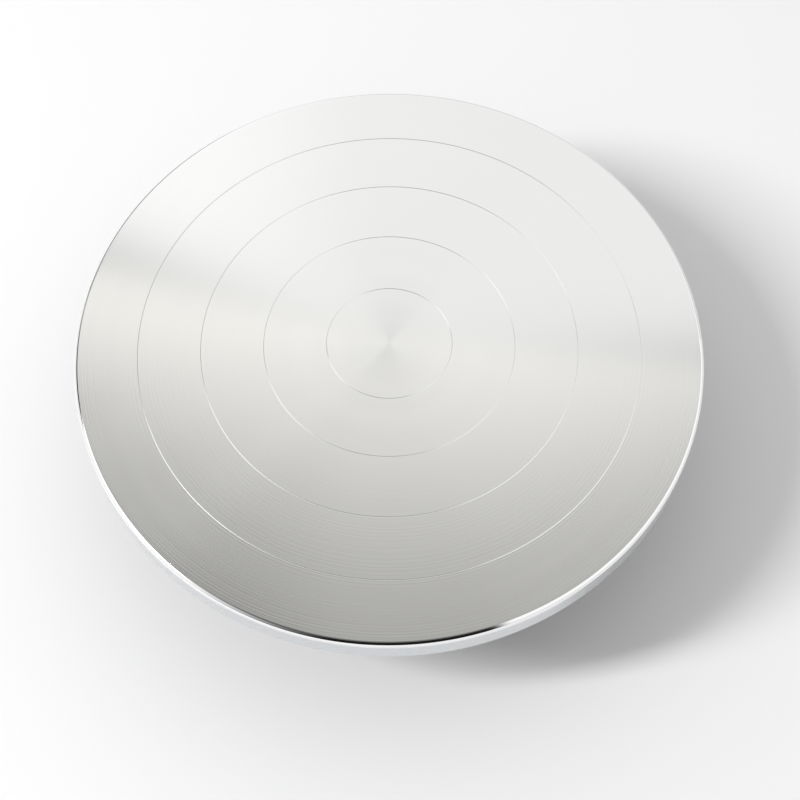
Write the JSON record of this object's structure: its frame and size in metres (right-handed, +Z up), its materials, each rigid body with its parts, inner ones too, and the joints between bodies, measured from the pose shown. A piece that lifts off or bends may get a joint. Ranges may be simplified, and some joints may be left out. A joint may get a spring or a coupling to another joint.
{
  "type": "cake turntable",
  "caption": "Low round cake turntable: a flat turned metal plate with engraved concentric rings spins freely on a bearing spindle above a smaller round base with rubber feet.",
  "frame": {"origin": "centre of the footprint, on the surface that the feet stand on", "axes": "+Z up along the spin axis; +X and +Y are equivalent, with the feet on the diagonals"},
  "size_m": [0.25, 0.25, 0.0735],
  "materials": {
    "plate_aluminium": "fine circular turning marks on the top, bright polished rim",
    "base_aluminium": "satin turned",
    "spindle_steel": "ground",
    "bearing_steel": "polished bearing steel",
    "shield_steel": "pressed sheet steel",
    "zinc_fasteners": "bright zinc plated",
    "cage_nylon": "moulded nylon",
    "seal_felt": "pressed wool felt",
    "foot_rubber": "matt moulded rubber",
    "cap_plastic": "fine moulded grain"
  },
  "bodies": {
    "base": {"bearing_housing": "base_aluminium", "upper_outer_race": "bearing_steel", "upper_shields": "shield_steel", "retaining_ring": "shield_steel", "dust_seal": "seal_felt", "lower_outer_race": "bearing_steel", "lower_shields": "shield_steel", "base_plate": "base_aluminium", "housing_screws": "zinc_fasteners", "bottom_cap": "cap_plastic", "rubber_foot_1": "foot_rubber", "rubber_foot_2": "foot_rubber", "rubber_foot_3": "foot_rubber", "rubber_foot_4": "foot_rubber", "foot_screws": "zinc_fasteners"},
    "turntable": {"turntable_plate": "plate_aluminium", "spindle": "spindle_steel", "flange_screws": "zinc_fasteners", "upper_inner_race": "bearing_steel", "lower_inner_race": "bearing_steel", "end_washer": "zinc_fasteners", "lock_washer": "zinc_fasteners", "spindle_bolt": "zinc_fasteners"},
    "upper_ball_set": {"upper_balls": "bearing_steel", "upper_cage": "cage_nylon"},
    "lower_ball_set": {"lower_balls": "bearing_steel", "lower_cage": "cage_nylon"}
  },
  "joints": [
    {"name": "plate_spin", "type": "hinge", "parent": "base", "child": "turntable", "pos_m": [0, 0, 0.06], "axis": [0, 0, 1], "continuous": true},
    {"name": "upper_balls_orbit", "type": "hinge", "parent": "base", "child": "upper_ball_set", "pos_m": [0, 0, 0.0485], "axis": [0, 0, 1], "continuous": true},
    {"name": "lower_balls_orbit", "type": "hinge", "parent": "base", "child": "lower_ball_set", "pos_m": [0, 0, 0.0175], "axis": [0, 0, 1], "continuous": true}
  ],
  "couplings": [
    {"joint": "upper_balls_orbit", "follows": "plate_spin", "ratio": 0.39758},
    {"joint": "lower_balls_orbit", "follows": "plate_spin", "ratio": 0.39872}
  ]
}
